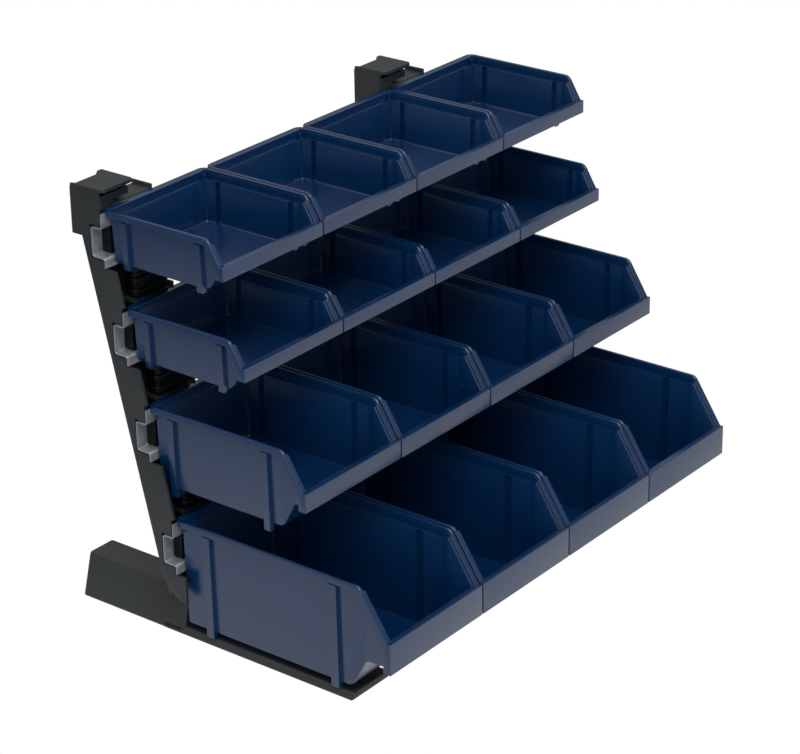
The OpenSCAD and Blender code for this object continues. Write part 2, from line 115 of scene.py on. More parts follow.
def plastic(name, look):
    m, bsdf, p = newMaterial(name)
    cloud = noise(p, look["cloudScale"], 3.0)
    grain = noise(p, look["grainScale"], 2.0)
    speck = noise(p, look["speckScale"], 0.0) > look["speckCut"]
    patch = noise(p, look["patchScale"], 1.0) > look["patchCut"]
    color = mixColor(p, cloud.span(0.35, 0.65), look["colorA"], look["colorB"])
    color = mixColor(p, speck * patch * look["speckAmount"], color, look["dust"])
    p.put(bsdf.inputs["Base Color"], color)
    rough = cloud.span(0.3, 0.7, look["roughA"], look["roughB"]) + grain * look["roughGrain"]
    p.put(bsdf.inputs["Roughness"], rough.clamp())
    bsdf.inputs["IOR"].default_value = look["ior"]
    bump = p.node("ShaderNodeBump", {"Height": grain, "Strength": look["bump"], "Distance": look["bumpDeep"]})
    p.put(bsdf.inputs["Normal"], bump)
    return m


def metal(name, look):
    m, bsdf, p = newMaterial(name)
    spangle = p.node("ShaderNodeTexVoronoi", {"Vector": p, "Scale": look["spangle"]}, out="Color")
    tone = p.node("ShaderNodeSeparateColor", {"Color": spangle})
    fine = noise(p, look["fine"], 3.0)
    blend = (tone * look["toneShare"] + fine * (1.0 - look["toneShare"])).clamp()
    color = mixColor(p, blend, look["colorA"], look["colorB"])
    p.put(bsdf.inputs["Base Color"], color)
    bsdf.inputs["Metallic"].default_value = look["metallic"]
    rough = tone.span(0.0, 1.0, look["roughA"], look["roughB"]) + fine * look["roughFine"]
    p.put(bsdf.inputs["Roughness"], rough)
    bump = p.node("ShaderNodeBump", {"Height": fine, "Strength": look["bump"], "Distance": look["bumpDeep"]})
    p.put(bsdf.inputs["Normal"], bump)
    return m


plasticLook = dict(patchScale=21.0, patchCut=0.5, bumpDeep=0.0004)
binLook = dict(plasticLook, colorA=(0.0003, 0.0165, 0.062, 1), colorB=(0.0006, 0.0205, 0.075, 1),
               dust=(0.22, 0.26, 0.32, 1), cloudScale=9.0, grainScale=900.0, speckScale=640.0, speckCut=0.84,
               speckAmount=0.14, roughA=0.17, roughB=0.24, roughGrain=0.05, ior=1.65, bump=0.04)
frameLook = dict(plasticLook, colorA=(0.0125, 0.0160, 0.0185, 1), colorB=(0.0175, 0.0215, 0.0245, 1),
                 dust=(0.1, 0.1, 0.1, 1), cloudScale=14.0, grainScale=1300.0, speckScale=700.0, speckCut=0.8,
                 speckAmount=0.2, roughA=0.42, roughB=0.52, roughGrain=0.08, ior=1.5, bump=0.10)
blackLook = dict(plasticLook, colorA=(0.0010, 0.0014, 0.0022, 1), colorB=(0.0018, 0.0022, 0.0032, 1),
                 dust=(0.05, 0.05, 0.05, 1), cloudScale=20.0, grainScale=900.0, speckScale=700.0,
                 speckCut=0.82, speckAmount=0.2, roughA=0.32, roughB=0.42, roughGrain=0.05, ior=1.33,
                 bump=0.05)
rubberLook = dict(blackLook, roughA=0.7, roughB=0.8, bump=0.2)
metalLook = dict(toneShare=0.6, roughFine=0.1, bumpDeep=0.0003)
railLook = dict(metalLook, colorA=(0.24, 0.27, 0.29, 1), colorB=(0.34, 0.37, 0.39, 1), metallic=0.75,
                spangle=260.0, fine=700.0, roughA=0.36, roughB=0.5, bump=0.06)
zincLook = dict(metalLook, colorA=(0.42, 0.42, 0.40, 1), colorB=(0.6, 0.6, 0.58, 1), metallic=1.0,
                spangle=500.0, fine=1200.0, roughA=0.25, roughB=0.4, bump=0.03)

binPlastic = plastic("binPlastic", binLook)
framePlastic = plastic("framePlastic", frameLook)
blackPlastic = plastic("blackPlastic", blackLook)
padRubber = plastic("padRubber", rubberLook)
railSteel = metal("railSteel", railLook)
zincSteel = metal("zincSteel", zincLook)
print("materials ready")


def finishPiece(bm, name, material, body, nodes, angle=30.0):
    bmesh.ops.recalc_face_normals(bm, faces=bm.faces)
    for v in bm.verts:
        v.co *= mm
    mesh = bpy.data.meshes.new(name)
    bm.to_mesh(mesh)
    bm.free()
    mesh.shade_smooth()
    mesh.set_sharp_from_angle(angle=math.radians(angle))
    mesh.materials.append(material)
    obj = bpy.data.objects.new(name, mesh)
    bpy.context.scene.collection.objects.link(obj)
    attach(obj, body)
    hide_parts(*nodes)


edgeRound = dict(sharp=0.5, profile=0.6)


def bevelSharp(bm, faces, width, segments=2):
    sharp = edgeRound["sharp"]
    edges = {e for f in faces for e in f.edges if len(e.link_faces) == 2 and e.calc_face_angle(0) > sharp}
    if width > 0 and edges:
        bmesh.ops.bevel(bm, geom=list(edges), offset=width, segments=segments,
                        profile=edgeRound["profile"], affect="EDGES", clamp_overlap=True)


def addPlate(bm, outline, place, a, b, width=0.4, segments=2):
    tmp = bmesh.new()
    lower = [tmp.verts.new(place(u, v, a)) for u, v in outline]
    upper = [tmp.verts.new(place(u, v, b)) for u, v in outline]
    n = len(outline)
    tmp.faces.new(lower)
    tmp.faces.new(upper[::-1])
    for i in range(n):
        tmp.faces.new((lower[i], upper[i], upper[(i + 1) % n], lower[(i + 1) % n]))
    bmesh.ops.recalc_face_normals(tmp, faces=tmp.faces)
    bevelSharp(tmp, tmp.faces, width, segments)
    mergeInto(bm, tmp)


def mergeInto(bm, tmp):
    part = bpy.data.meshes.new("part")
    tmp.to_mesh(part)
    tmp.free()
    bm.from_mesh(part)
    bpy.data.meshes.remove(part)


def alongX(u, v, x):
    return Vector((x, u, v))


def alongY(u, v, y):
    return Vector((u, y, v))


def alongZ(u, v, z):
    return Vector((u, v, z))


def addBox(bm, lo, hi, width=0.4, segments=2):
    addPlate(bm, [(lo[1], lo[2]), (hi[1], lo[2]), (hi[1], hi[2]), (lo[1], hi[2])], alongX, lo[0], hi[0],
             width, segments)


def addPeg(bm, center, axis, radius, length, sides=48, width=0.5):
    tmp = bmesh.new()
    turn = Vector((0, 0, 1)).rotation_difference(Vector(axis)).to_matrix().to_4x4()
    bmesh.ops.create_cone(tmp, cap_ends=True, segments=sides, radius1=radius, radius2=radius, depth=length,
                          matrix=Matrix.Translation(center) @ turn)
    bevelSharp(tmp, [f for f in tmp.faces if len(f.verts) > 4], width, 2)
    mergeInto(bm, tmp)


def cadMm(node):
    lo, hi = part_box(node)
    return lo * 1000, hi * 1000


# bins: sections across the bin, from the rim round the wall and floor, follow one another front to rear
binCommon = dict(corner=6.0, side=3.6, sideDraft=1.0, rear=5.0, draft=1.0, wall=2.0, skirt=5.0, ledge=6.4,
                 lip=2.6, flange=4.9, ribOut=2.5, ribTop=6.6, grooveTop=1.6, groove=2.4, turn=6.0,
                 toeRound=5.0, kneeRound=3.0, shellIn=2.5, bandFace=2.4, bandDeep=5.0, bandEnd=6.5,
                 shelfUp=1.5, rimRound=2.2, floorRound=0.6, roundIn=8.0)
cornerTurns = (0, 10, 20, 21, 34, 50, 66, 67, 78, 90)  # degrees round the rear corner
railSlot = (21, 66)  # the skirt is cut away between these two, where the rail's lip passes
stud = dict(along=(0.30, 0.62), inset=3.3, halfX=0.9, halfY=0.7, low=6.3, high=5.4)
smallBin = dict(binCommon, brk=95.0, bandZ=17.5, bandH=10.0, body=39.0, toe=90.5, knee=100.0,
                ribs=(16.2, 82.0), ribL=5.4, drop=2.4)
mediumBin = dict(binCommon, brk=121.5, bandZ=27.3, bandH=14.0, body=60.5, toe=117.0, knee=128.0,
                 ribs=(17.5, 101.8), ribL=5.8, drop=5.5)
largeBin = dict(binCommon, brk=165.0, bandZ=36.0, bandH=23.5, body=82.5, toe=154.0, knee=167.0,
                ribs=(25.0, 137.6), ribL=7.2, drop=4.0)


def roundPath(points, radius, steps=4):
    points = [Vector(p) for p in points]
    out = [points[0]]
    for i in range(1, len(points) - 1):
        a, b, c = points[i - 1:i + 2]
        u, v = (a - b).normalized(), (c - b).normalized()
        reach = radius[i - 1] if isinstance(radius, tuple) else radius
        reach = min(reach, (a - b).length * 0.45, (c - b).length * 0.45)
        for k in (j / steps for j in range(steps + 1)):
            out.append((b + u * reach) * (1 - k) ** 2 + b * 2 * k * (1 - k) + (b + v * reach) * k * k)
    out.append(points[-1])
    return out


def between(rows, y):
    for a, b in zip(rows, rows[1:]):
        if b[0] <= y <= a[0]:
            k = (a[0] - y) / max(a[0] - b[0], 1e-6)
            return [p + (q - p) * k for p, q in zip(a, b)]
    return list(rows[-1] if y < rows[-1][0] else rows[0])


def underside(s, end, up):
    # height of the floor and the front wall along the bin, up millimetres inside the outer face
    dx, dz = s["knee"] - s["toe"], s["body"] - s["bandZ"] - s["bandH"] + s["shelfUp"]
    n = math.hypot(dx, dz)
    back = up * (dz / n - dx * (1 - dx / n) / dz)
    low = up - s["body"]
    path = [(0.0, low), (back - s["toe"], low), (back - s["knee"], low + dz), (end - 9.0, low + dz)]
    return [(p.x, p.y) for p in roundPath(path, (s["toeRound"], s["kneeRound"]), 5)]


def rimLine(s, end):
    # top of the rim: level, a soft break, then down to the band
    a, b = -end - s["brk"], s["bandZ"]
    n = math.hypot(a, b)
    slope = math.atan2(b, a)
    t = s["turn"] * math.tan(slope / 2)
    last = n - t
    rows = [(end, -b, 0.0, -n / a, 1.0)]
    for d in (1.5, last * 0.35, last * 0.7, last - 1.2):
        rows.append((end + a * d / n, -b + b * d / n, b / n, -a / n, 1.0))
    for i in range(5):
        ang = slope * (1 - i / 4)
        rows.append((t - s["brk"] - s["turn"] * math.sin(ang), s["turn"] * (math.cos(ang) - 1),
                     math.sin(ang), -math.cos(ang), 0.0))
    rows.append((rows[-1][0] + 0.3, 0.0, 0.0, -1.0, 0.0))
    rows.append((0.0, 0.0, 0.0, -1.0, 0.0))
    return rows[::-1]


def binStations(s, depth):
    end = s["shellIn"] - depth
    rim, outer, inner = rimLine(s, end), underside(s, end, 0.0), underside(s, end, s["wall"])
    marks = {}
    for start in s["ribs"]:
        length = s["ribL"]
        for off, rib, groove in ((0.0, 0, 0), (0.3, 1, 0), (0.45, 1, 0), (0.6, 1, 1), (length - 0.6, 1, 1),
                                 (length - 0.45, 1, 0), (length - 0.3, 1, 0), (length, 0, 0)):
            marks[-start - off] = (float(rib), float(groove))
    ribbed = [(-start - s["ribL"], -start) for start in s["ribs"]]
    others = [row[0] for row in rim[1:-1]] + [p[0] for p in outer[1:-1] + inner[1:-1]]
    for y in others:
        clear = all(abs(y - m) > 0.35 for m in marks)
        if end <= y < -s["corner"] - 2 and clear and not any(a < y < b for a, b in ribbed):
            marks[y] = (0.0, 0.0)
    marks[end] = (0.0, 0.0)
    rows = []
    for y in sorted(marks):
        rib, groove = marks[y]
        _, z, dy, dz, ridge = between(rim, y)
        rows.append(dict(y=y, z=z, dy=dy, dz=dz, ridge=ridge, rib=rib, groove=groove, rear=0.0, notch=False,
                         zOut=-s["body"] if rib else between(outer, y)[1], zIn=between(inner, y)[1]))
    for deg in cornerTurns:
        ang = math.radians(deg)
        rows.append(dict(ang=math.pi - ang, z=0.0, dy=0.0, dz=-1.0, ridge=0.0, rib=0.0, groove=0.0,
                         rear=math.sin(ang), notch=railSlot[0] <= deg <= railSlot[1], zOut=-s["body"],
                         zIn=s["wall"] - s["body"]))
    return rows


def sectionPoints(s, st):
    # each point: distance in from the rim's edge, shift along the bin, height below the rim
    fall, flange, rear, rib = -st["dz"], st["ridge"], st["rear"], st["rib"]
    zOut, zIn = st["zOut"], st["zIn"]

    def mix(side, back):
        return side + rear * (back - side)

    wallTop, draft = mix(s["side"], s["rear"]), mix(s["sideDraft"], s["draft"])
    lip = mix(s["lip"] + flange * (s["flange"] - s["lip"]), s["rear"] + 0.9)
    ledge = s["ledge"] - flange * (s["ledge"] - 1.7)
    outScale = min(1.0, (st["z"] - zOut - 0.6) / (fall * s["skirt"]))
    inScale = min(1.0, (st["z"] - zIn - 1.0) / (fall * (ledge + 0.6)))

    def out(z):
        return wallTop + draft * min(1.0, -z / s["body"])

    def under(inset, t, scale):
        if st["notch"] and scale is outScale and t > 2.0:
            t = 2.0 + (t - 2.0) * 0.08
        return (inset, t * scale * st["dy"], st["z"] + t * scale * st["dz"])

    inner = s["wall"] + 0.2
    # under the rim and round the skirt, then over the rim, then down the inner wall to the floor
    points = [under(i, t, outScale) for i, t in (
        (wallTop, 2.0), (1.5, 2.05), (1.3, 2.4), (1.3, s["skirt"] - 0.2), (1.1, s["skirt"]),
        (0.25, s["skirt"]), (0.0, s["skirt"] - 0.3))]
    points += [under(i, t, 1.0) for i, t in (
        (0.0, 0.9), (0.12, 0.4), (0.4, 0.1), (0.8, 0.0), (lip - 1.0, 0.0), (lip - 0.6, 0.03),
        (lip - 0.25, 0.15), (lip - 0.06, 0.4), (lip, 0.8))]
    wallIn = out(st["z"] - ledge) + inner
    points += [under(i, t, inScale) for i, t in (
        (lip + 0.03, ledge - 0.5), (lip + 0.2, ledge - 0.15), (wallIn - 0.25, ledge),
        (wallIn - s["grooveTop"] * st["groove"], ledge + 0.4))]
    groove = s["groove"] * st["groove"]
    foot = out(zIn) + inner - groove
    high = min(zIn + 1.3, points[-1][2] - 0.2)
    points += [(foot, 0.0, high), (foot + 0.25, 0.0, min(zIn + 0.5, high - 0.15)),
               (foot + 0.7, 0.0, min(zIn + 0.12, high - 0.3)), (foot + 1.4, 0.0, zIn)]
    # underneath, from the floor's outer face out to the ribs and up to the skirt
    low, edge, turn = zOut - s["drop"] * rib, out(zOut), 1.0 + 5.0 * rear
    skirtEnd = under(0.0, s["skirt"] - 0.3, outScale)
    ribbed = s["ribOut"] * rib
    ribHigh = max(min(-s["ribTop"], skirtEnd[2] - 1.2), zOut + turn + 1.2)
    points += [(edge + inner + 5.0, 0.0, zOut), (edge + turn + 1.6, 0.0, zOut),
               (edge + turn + 1.1, 0.0, min(low, zOut - 0.02)), (edge + turn - ribbed, 0.0, low + 0.02),
               (edge + 0.3 * turn - ribbed, 0.0, low + 0.3 * turn + 0.3 * (1 - rib)),
               (edge - ribbed, 0.0, low + turn + 0.6 * (1 - rib)),
               (out(-s["ribTop"]) - ribbed, 0.0, ribHigh),
               (wallTop + 0.1, skirtEnd[1], max(skirtEnd[2], zOut + turn + 1.6))]
    return points


def fromAbove(s, st, half, inset):
    if "y" in st:
        return -half + inset, st["y"]
    r = max(s["corner"] - inset, s["rimRound"] if inset < s["roundIn"] else s["floorRound"])
    return -half + inset + r + r * math.cos(st["ang"]), -inset - r + r * math.sin(st["ang"])


def addBin(bm, s, lo, hi):
    depth, half = hi[1] - lo[1], (hi[0] - lo[0]) / 2
    mid = (lo[0] + hi[0]) / 2
    sts = binStations(s, depth)
    rings = []
    for mirror, order in ((1, sts), (-1, sts[::-1])):
        for st in order:
            ring = []
            for inset, shift, z in sectionPoints(s, st):
                x, y = fromAbove(s, st, half, inset)
                ring.append(bm.verts.new((mid + x * mirror, hi[1] + y + shift, hi[2] + z)))
            rings.append(ring)
    count, floor = len(rings[0]), 23  # the section's point where the floor inside starts
    for a, b in zip(rings, rings[1:]):
        for i in range(count):
            if i != floor:
                j = (i + 1) % count
                bm.faces.new((a[i], a[j], b[j], b[i]))
    n = len(sts)
    rear = next(i for i, st in enumerate(sts) if "ang" in st) - 1
    for level in (floor, floor + 1):
        for i in range(rear):
            bm.faces.new((rings[i][level], rings[i + 1][level], rings[-2 - i][level], rings[-1 - i][level]))
        bm.faces.new([rings[i][level] for i in range(rear, 2 * n - rear)])
    ends = rings[0] + rings[-1]
    openEdges = {e for v in ends for e in v.link_edges if e.is_boundary}
    bmesh.ops.holes_fill(bm, edges=list(openEdges), sides=0)
    top, front = hi[2] - s["bandZ"], lo[1]
    low = top - s["bandH"]
    addBox(bm, (lo[0], front, low), (hi[0], front + s["bandFace"], top), 0.6, 3)
    addBox(bm, (lo[0] + 3.0, front + 0.8, low + 0.3), (hi[0] - 3.0, front + s["bandDeep"], top - 0.05), 0.5)
    for x in (lo[0] + 0.2, hi[0] - 5.0):  # the band's ends, turned back along the walls
        addBox(bm, (x, front + 1.0, low + 0.2), (x + 4.8, front + s["bandEnd"], top - 0.4), 0.5)
    for k in stud["along"]:  # small studs on the ledge inside
        y = hi[1] - depth * k
        for x in (lo[0] + stud["inset"], hi[0] - stud["inset"]):
            addBox(bm, (x - stud["halfX"], y - stud["halfY"], hi[2] - stud["low"]),
                   (x + stud["halfX"], y + stud["halfY"], hi[2] - stud["high"]), 0.25)


binRows = {1: smallBin, 2: smallBin, 3: mediumBin, 4: largeBin}
for row, sizes in binRows.items():
    for col in (1, 2, 3, 4):
        node = f"bin_r{row}_c{col}"
        bm = bmesh.new()
        addBin(bm, sizes, *cadMm(node))
        finishPiece(bm, f"bin{row}{col}", binPlastic, node, [node], 34.0)
print("bins ready")


railSizes = dict(t=1.2, lip=3.4, top=2.2, lipH=10.3, channel=22.5, web=7.2, lowLip=5.2, lowH=6.0, bend=2.0,
                 endDeep=0.3, endThin=0.75)


def addStrip(bm, path, t, x0, x1):
    left, right = [], []
    for i, p in enumerate(path):
        a = path[max(i - 1, 0)]
        b = path[min(i + 1, len(path) - 1)]
        d = (b - a).normalized()
        n = Vector((-d.y, d.x))
        left.append(p + n * t / 2)
        right.append(p - n * t / 2)
    outline = [(p.x, p.y) for p in left + right[::-1]]
    m = len(path)
    ends = []
    deep, thin = railSizes["endDeep"], railSizes["endThin"]
    for x, k in ((x0, thin), (x0 + deep, 1.0), (x1 - deep, 1.0), (x1, thin)):
        ring = []
        for i, (u, v) in enumerate(outline):
            j = i if i < m else 2 * m - 1 - i
            c = path[j]
            ring.append(bm.verts.new((x, c.x + (u - c.x) * k, c.y + (v - c.y) * k)))
        ends.append(ring)
    n = len(outline)
    for a, b in zip(ends, ends[1:]):
        for i in range(n):
            bm.faces.new((a[i], a[(i + 1) % n], b[(i + 1) % n], b[i]))
    for ring in (ends[0], ends[-1]):
        for i in range(m - 1):
            bm.faces.new((ring[i], ring[i + 1], ring[n - 2 - i], ring[n - 1 - i]))


for row in (1, 2, 3, 4):
    lo, hi = cadMm(f"rail_row{row}")
    r = railSizes
    y, z = hi[1] - r["web"], hi[2] + r["top"]
    h = r["t"] / 2
    cz = -r["top"] - r["lipH"]
    lz = cz - r["channel"]
    pts = [(h - r["lip"], -r["top"]), (h - r["lip"], cz - h), (r["web"] - h, cz - h), (r["web"] - h, lz + h),
           (h - r["lowLip"], lz + h), (h - r["lowLip"], lz - r["lowH"])]
    bm = bmesh.new()
    addStrip(bm, [Vector((p.x + y, p.y + z)) for p in roundPath(pts, r["bend"])], r["t"], lo[0], hi[0])
    finishPiece(bm, f"railRow{row}", railSteel, "rack", [f"rail_row{row}"], 40.0)
print("rails ready")


# the frame: places are millimetres from the rails' left end and the top row's rims, over the bench

rackAt = Vector((-213.0, 98.5, 0.0))
rowPlaces = ((0.0, 313.1), (-15.5, 244.7), (-31.5, 176.1), (-51.0, 93.9))
sidesAt = {"left": 3.0, "right": 311.5}
up = dict(t=2.5, frontY=-3.2, lean=0.2373, w=24.4, webT=3.0, webW=53.0, low=31.0, lowFront=-63.0, capZ=291.5,
          notchIn=-1.2, notchRear=8.4, notchTop=1.0, channel=-11.5, under=-36.0, lipEnd=-42.0, lipIn=-3.0,
          relief=12.0, stiff=6.0, base=3.0, baseRear=20.0, tongue=15.0, bossR=5.5, bossOut=3.4,
          screwX=(22.0, 43.0), screwZ=-23.75, heelTop=47.0,
          heel=((-58.5, 31.6), (-53.8, 34.2), (-48.5, 37.6), (-45.0, 41.0)))
footSizes = dict(half=21.0, topHalf=11.75, mid=24.5, low=0.8, high=33.4, bar=6.7, front=-206.0, step=-53.0,
                 rear=45.0, lap=20.0)
binLows = (44.0, 44.0, 67.0, 87.5)


def frontAt(z):
    return up["frontY"] - (rowPlaces[0][1] - z) * up["lean"]


def rearAt(z):
    return frontAt(z) + up["w"]


def cheekOutline(right):
    pts = []
    for k, (y, z) in enumerate(rowPlaces):
        inner = y + 0.6 if right else y + up["notchIn"]
        lower = y + 0.6 if right else y + up["lipIn"]
        if k:
            top = z + (up["relief"] if right else up["notchTop"])
            pts += [(frontAt(top), top), (inner, top), (inner, z + up["channel"]),
                    (y + up["notchRear"], z + up["channel"])]
        else:
            pts.append((y + up["notchRear"], up["capZ"]))
        end = z - binLows[k] if right else z + up["lipEnd"]
        pts += [(y + up["notchRear"], z + up["under"]), (lower, z + up["under"]),
                (lower, max(end, up["low"]))]
        if end > up["low"]:
            pts.append((max(frontAt(end), up["lowFront"]), end))
    if not right:
        pts.append((up["lowFront"], up["low"]))
    return pts + [*up["heel"], (rearAt(up["heelTop"]), up["heelTop"]), (rearAt(up["capZ"]), up["capZ"])]


def slab(bm, outline, x0, x1, width=0.5):
    addPlate(bm, [(y + rackAt.y, z) for y, z in outline], alongX, x0 + rackAt.x, x1 + rackAt.x, width)


for side, at in sidesAt.items():
    bm = bmesh.new()
    z0, z1 = footSizes["high"], up["capZ"]
    z2 = z1 + up["tongue"]
    slab(bm, cheekOutline(side == "right"), at - up["t"], at, 0.5)
    slab(bm, [(rearAt(z0) - up["webT"], z0), (rearAt(z0), z0), (rearAt(z1), z1),
              (rearAt(z1) - up["webT"], z1)], at - 0.5, at + up["webW"], 0.7)
    slab(bm, [(rearAt(z1) - up["webT"], z1 - 1), (rearAt(z1), z1 - 1), (rearAt(z2), z2),
              (rearAt(z2) - up["webT"], z2)], at + 3.0, at + 26.0)
    slab(bm, [(rearAt(z0) - 1, z0), (rearAt(z0) + up["stiff"], z0), (rearAt(z1) + up["stiff"] - 2, z1 - 1),
              (rearAt(z1) - 1, z1 - 1)], at + up["webW"] - 3.0, at + up["webW"], 0.8)
    base = rearAt(z0) - up["webT"]
    left, right = (footSizes["mid"] + half for half in (-footSizes["topHalf"], footSizes["topHalf"]))
    addBox(bm, (at + left + rackAt.x, base + rackAt.y, z0),
           (at + right + rackAt.x, base + up["webT"] + up["baseRear"] + rackAt.y, z0 + up["base"]), 0.8)
    for y, z in rowPlaces:
        back = rearAt(z + up["screwZ"])
        for x in up["screwX"]:
            addPeg(bm, Vector((at + x, back + up["bossOut"] / 2 - 0.5, z + up["screwZ"])) + rackAt, (0, 1, 0),
                   up["bossR"], up["bossOut"] + 1.0)
    finishPiece(bm, f"upright_{side}_shape", framePlastic, "rack", [f"upright_{side}"])
print("uprights ready")

hold = dict(x=12.0, w=53.0, t=2.0, up=2.6, y=0.6, low=-34.0, shelf=-11.5, web=7.2)
for side, at in sidesAt.items():
    bm = bmesh.new()
    for y, z in rowPlaces:
        low, shelf = z + hold["low"], z + hold["shelf"]
        for x0, x1, top in ((hold["x"], hold["w"], 0.0), (hold["x"], hold["x"] + hold["t"], hold["up"]),
                            (hold["w"] - hold["t"], hold["w"], hold["up"])):
            slab(bm, [(y + hold["web"], low), (rearAt(low) - up["webT"], low),
                      (rearAt(z + top) - up["webT"], z + top), (y + hold["y"], z + top),
                      (y + hold["y"], shelf), (y + hold["web"], shelf)], at + x0, at + x1, 0.6)
    finishPiece(bm, f"holders_{side}_shape", framePlastic, "rack", [f"holders_{side}"])
print("holders ready")


def footOutline(z1):
    f = footSizes
    inset = (f["half"] - f["topHalf"]) * (z1 - f["low"]) / (f["high"] - f["low"])
    return [(-f["half"], f["low"]), (f["half"], f["low"]), (f["half"] - inset, z1), (inset - f["half"], z1)]


for side, at in sidesAt.items():
    f = footSizes
    bm = bmesh.new()
    mid = at + f["mid"] + rackAt.x
    for top, y0, y1, width in ((f["bar"], f["front"], f["step"] + f["lap"], 1.6),
                               (f["high"], f["step"], f["rear"], 2.2)):
        addPlate(bm, [(mid + x, z) for x, z in footOutline(top)], alongY, y0 + rackAt.y, y1 + rackAt.y,
                 width, 4)
    finishPiece(bm, f"foot_{side}_shape", framePlastic, "rack", [f"foot_{side}"], 50.0)
print("feet ready")


def geometryTree(name, inputs):
    # a geometry nodes tree with named number inputs and the piece's mesh as first input
    tree = bpy.data.node_groups.new(name, "GeometryNodeTree")
    tree.interface.new_socket("Geometry", in_out="INPUT", socket_type="NodeSocketGeometry")
    tree.interface.new_socket("Geometry", in_out="OUTPUT", socket_type="NodeSocketGeometry")
    for key in inputs:
        tree.interface.new_socket(key, in_out="INPUT", socket_type="NodeSocketFloat")
    given = tree.nodes.new("NodeGroupInput")
    return tree, {sock.name: Sock(tree, sock) for sock in given.outputs if sock.name}


def endTree(tree, shape, material):
    whole = shape.node("GeometryNodeRealizeInstances", {"Geometry": shape})
    done = whole.node("GeometryNodeSetMaterial", {"Geometry": whole, "Material": material})
    last = tree.nodes.new("NodeGroupOutput")
    tree.links.new(done.out, last.inputs[0])


def joined(tree, parts):
    join = tree.nodes.new("GeometryNodeJoinGeometry")
    for part in parts:
        tree.links.new(part.out, join.inputs[0])
    return Sock(tree, join.outputs[0])


def baked(tree, values, points=((0, 0, 0),)):
    start = bpy.data.meshes.new("start")
    start.from_pydata(list(points), [], [])
    obj = bpy.data.objects.new("start", start)
    bpy.context.scene.collection.objects.link(obj)
    mod = obj.modifiers.new("shape", "NODES")
    mod.node_group = tree
    for item in tree.interface.items_tree:
        if item.item_type == "SOCKET" and item.in_out == "INPUT" and item.name in values:
            mod[item.identifier] = float(values[item.name])
    bpy.context.view_layer.update()
    mesh = bpy.data.meshes.new_from_object(obj.evaluated_get(bpy.context.evaluated_depsgraph_get()))
    obj.modifiers.remove(mod)
    bpy.data.objects.remove(obj)
    return mesh


def ringTree():
    tree, given = geometryTree("ringStack", ("Width", "Depth", "Pitch", "Groove", "Cut", "Count"))
    w, d, pitch, cut = given["Width"], given["Depth"], given["Pitch"], given["Cut"]
    bead, count = pitch - given["Groove"], given["Count"]

    def stadium(width, depth):
        shape = w.node("GeometryNodeCurvePrimitiveQuadrilateral", {"Width": width, "Height": depth})
        return shape.node("GeometryNodeFilletCurve", {"Curve": shape, "Count": 10, "Radius": depth * 0.499},
                          mode="POLY")

    band = w.node("GeometryNodeCurvePrimitiveQuadrilateral", {"Width": cut * 2.0, "Height": bead})
    band = band.node("GeometryNodeFilletCurve", {"Curve": band, "Count": 5, "Radius": cut * 0.8}, mode="POLY")
    path = stadium(w - cut * 2.0, d - cut * 2.0)
    ring = path.node("GeometryNodeCurveToMesh", {"Curve": path, "Profile Curve": band, "Fill Caps": False})
    step = w.node("ShaderNodeCombineXYZ", {"Z": pitch})
    first = w.node("ShaderNodeCombineXYZ", {"Z": pitch * 0.5})
    line = w.node("GeometryNodeMeshLine", {"Count": count, "Start Location": first, "Offset": step},
                  mode="OFFSET")
    rings = line.node("GeometryNodeInstanceOnPoints", {"Points": line, "Instance": ring})
    face = path.node("GeometryNodeFillCurve", {"Curve": path}, mode="NGONS")
    tall = w.node("ShaderNodeCombineXYZ", {"Z": pitch * count})
    solid = face.node("GeometryNodeExtrudeMesh", {"Mesh": face, "Offset": tall, "Offset Scale": 1.0,
                                                  "Individual": False}, mode="FACES")
    endTree(tree, joined(tree, (face, solid, rings)), blackPlastic)
    return tree


ringSizes = dict(Width=36.0, Depth=12.2, Pitch=8.8, Groove=3.3, Cut=1.6)
ringPlace = dict(x=32.5, y=0.6)
ringCounts = (0, 3, 3, 2)
ringStack = ringTree()
for side, at in sidesAt.items():
    bm = bmesh.new()
    for k, (y, z) in enumerate(rowPlaces):
        if ringCounts[k]:
            mesh = baked(ringStack, dict(ringSizes, Count=ringCounts[k]))
            middle = Vector((at + ringPlace["x"], y + ringPlace["y"] + ringSizes["Depth"] / 2, z))
            mesh.transform(Matrix.Translation(middle + rackAt))
            bm.from_mesh(mesh)
    bmesh.ops.remove_doubles(bm, verts=bm.verts, dist=0.001)
    finishPiece(bm, f"rings_{side}_shape", blackPlastic, "rack", [f"rings_{side}"])
print("rings ready")


def screwTree():
    # a screw on each point: shank along -Z, domed head on the point, six-sided recess
    tree, given = geometryTree("screws", ("Head", "Height", "Shank", "Length"))
    head, height, shank, length = (given[k] for k in ("Head", "Height", "Shank", "Length"))

    def cone(radius, top, depth, low, sides=40):
        shape = head.node("GeometryNodeMeshCone", {"Vertices": sides, "Radius Bottom": radius,
                                                   "Radius Top": top, "Depth": depth})
        place = head.node("ShaderNodeCombineXYZ", {"Z": low})
        return head.node("GeometryNodeTransform", {"Geometry": shape, "Translation": place})

    rim = cone(head, head * 0.97, height * 0.6, 0.0)
    dome = cone(head * 0.97, head * 0.72, height * 0.4, height * 0.6)
    recess = cone(head * 0.52, head * 0.52, height, height * 0.35, 6)
    stem = cone(shank, shank, length, length * -1.0)
    cut = [part.node("GeometryNodeMeshBoolean", {"Mesh 1": part, "Mesh 2": recess}, out="Mesh",
                     operation="DIFFERENCE") for part in (rim, dome)]
    points = given["Geometry"].node("GeometryNodeInstanceOnPoints", {
        "Points": given["Geometry"], "Instance": joined(tree, (*cut, stem))})
    endTree(tree, points, zincSteel)
    return tree


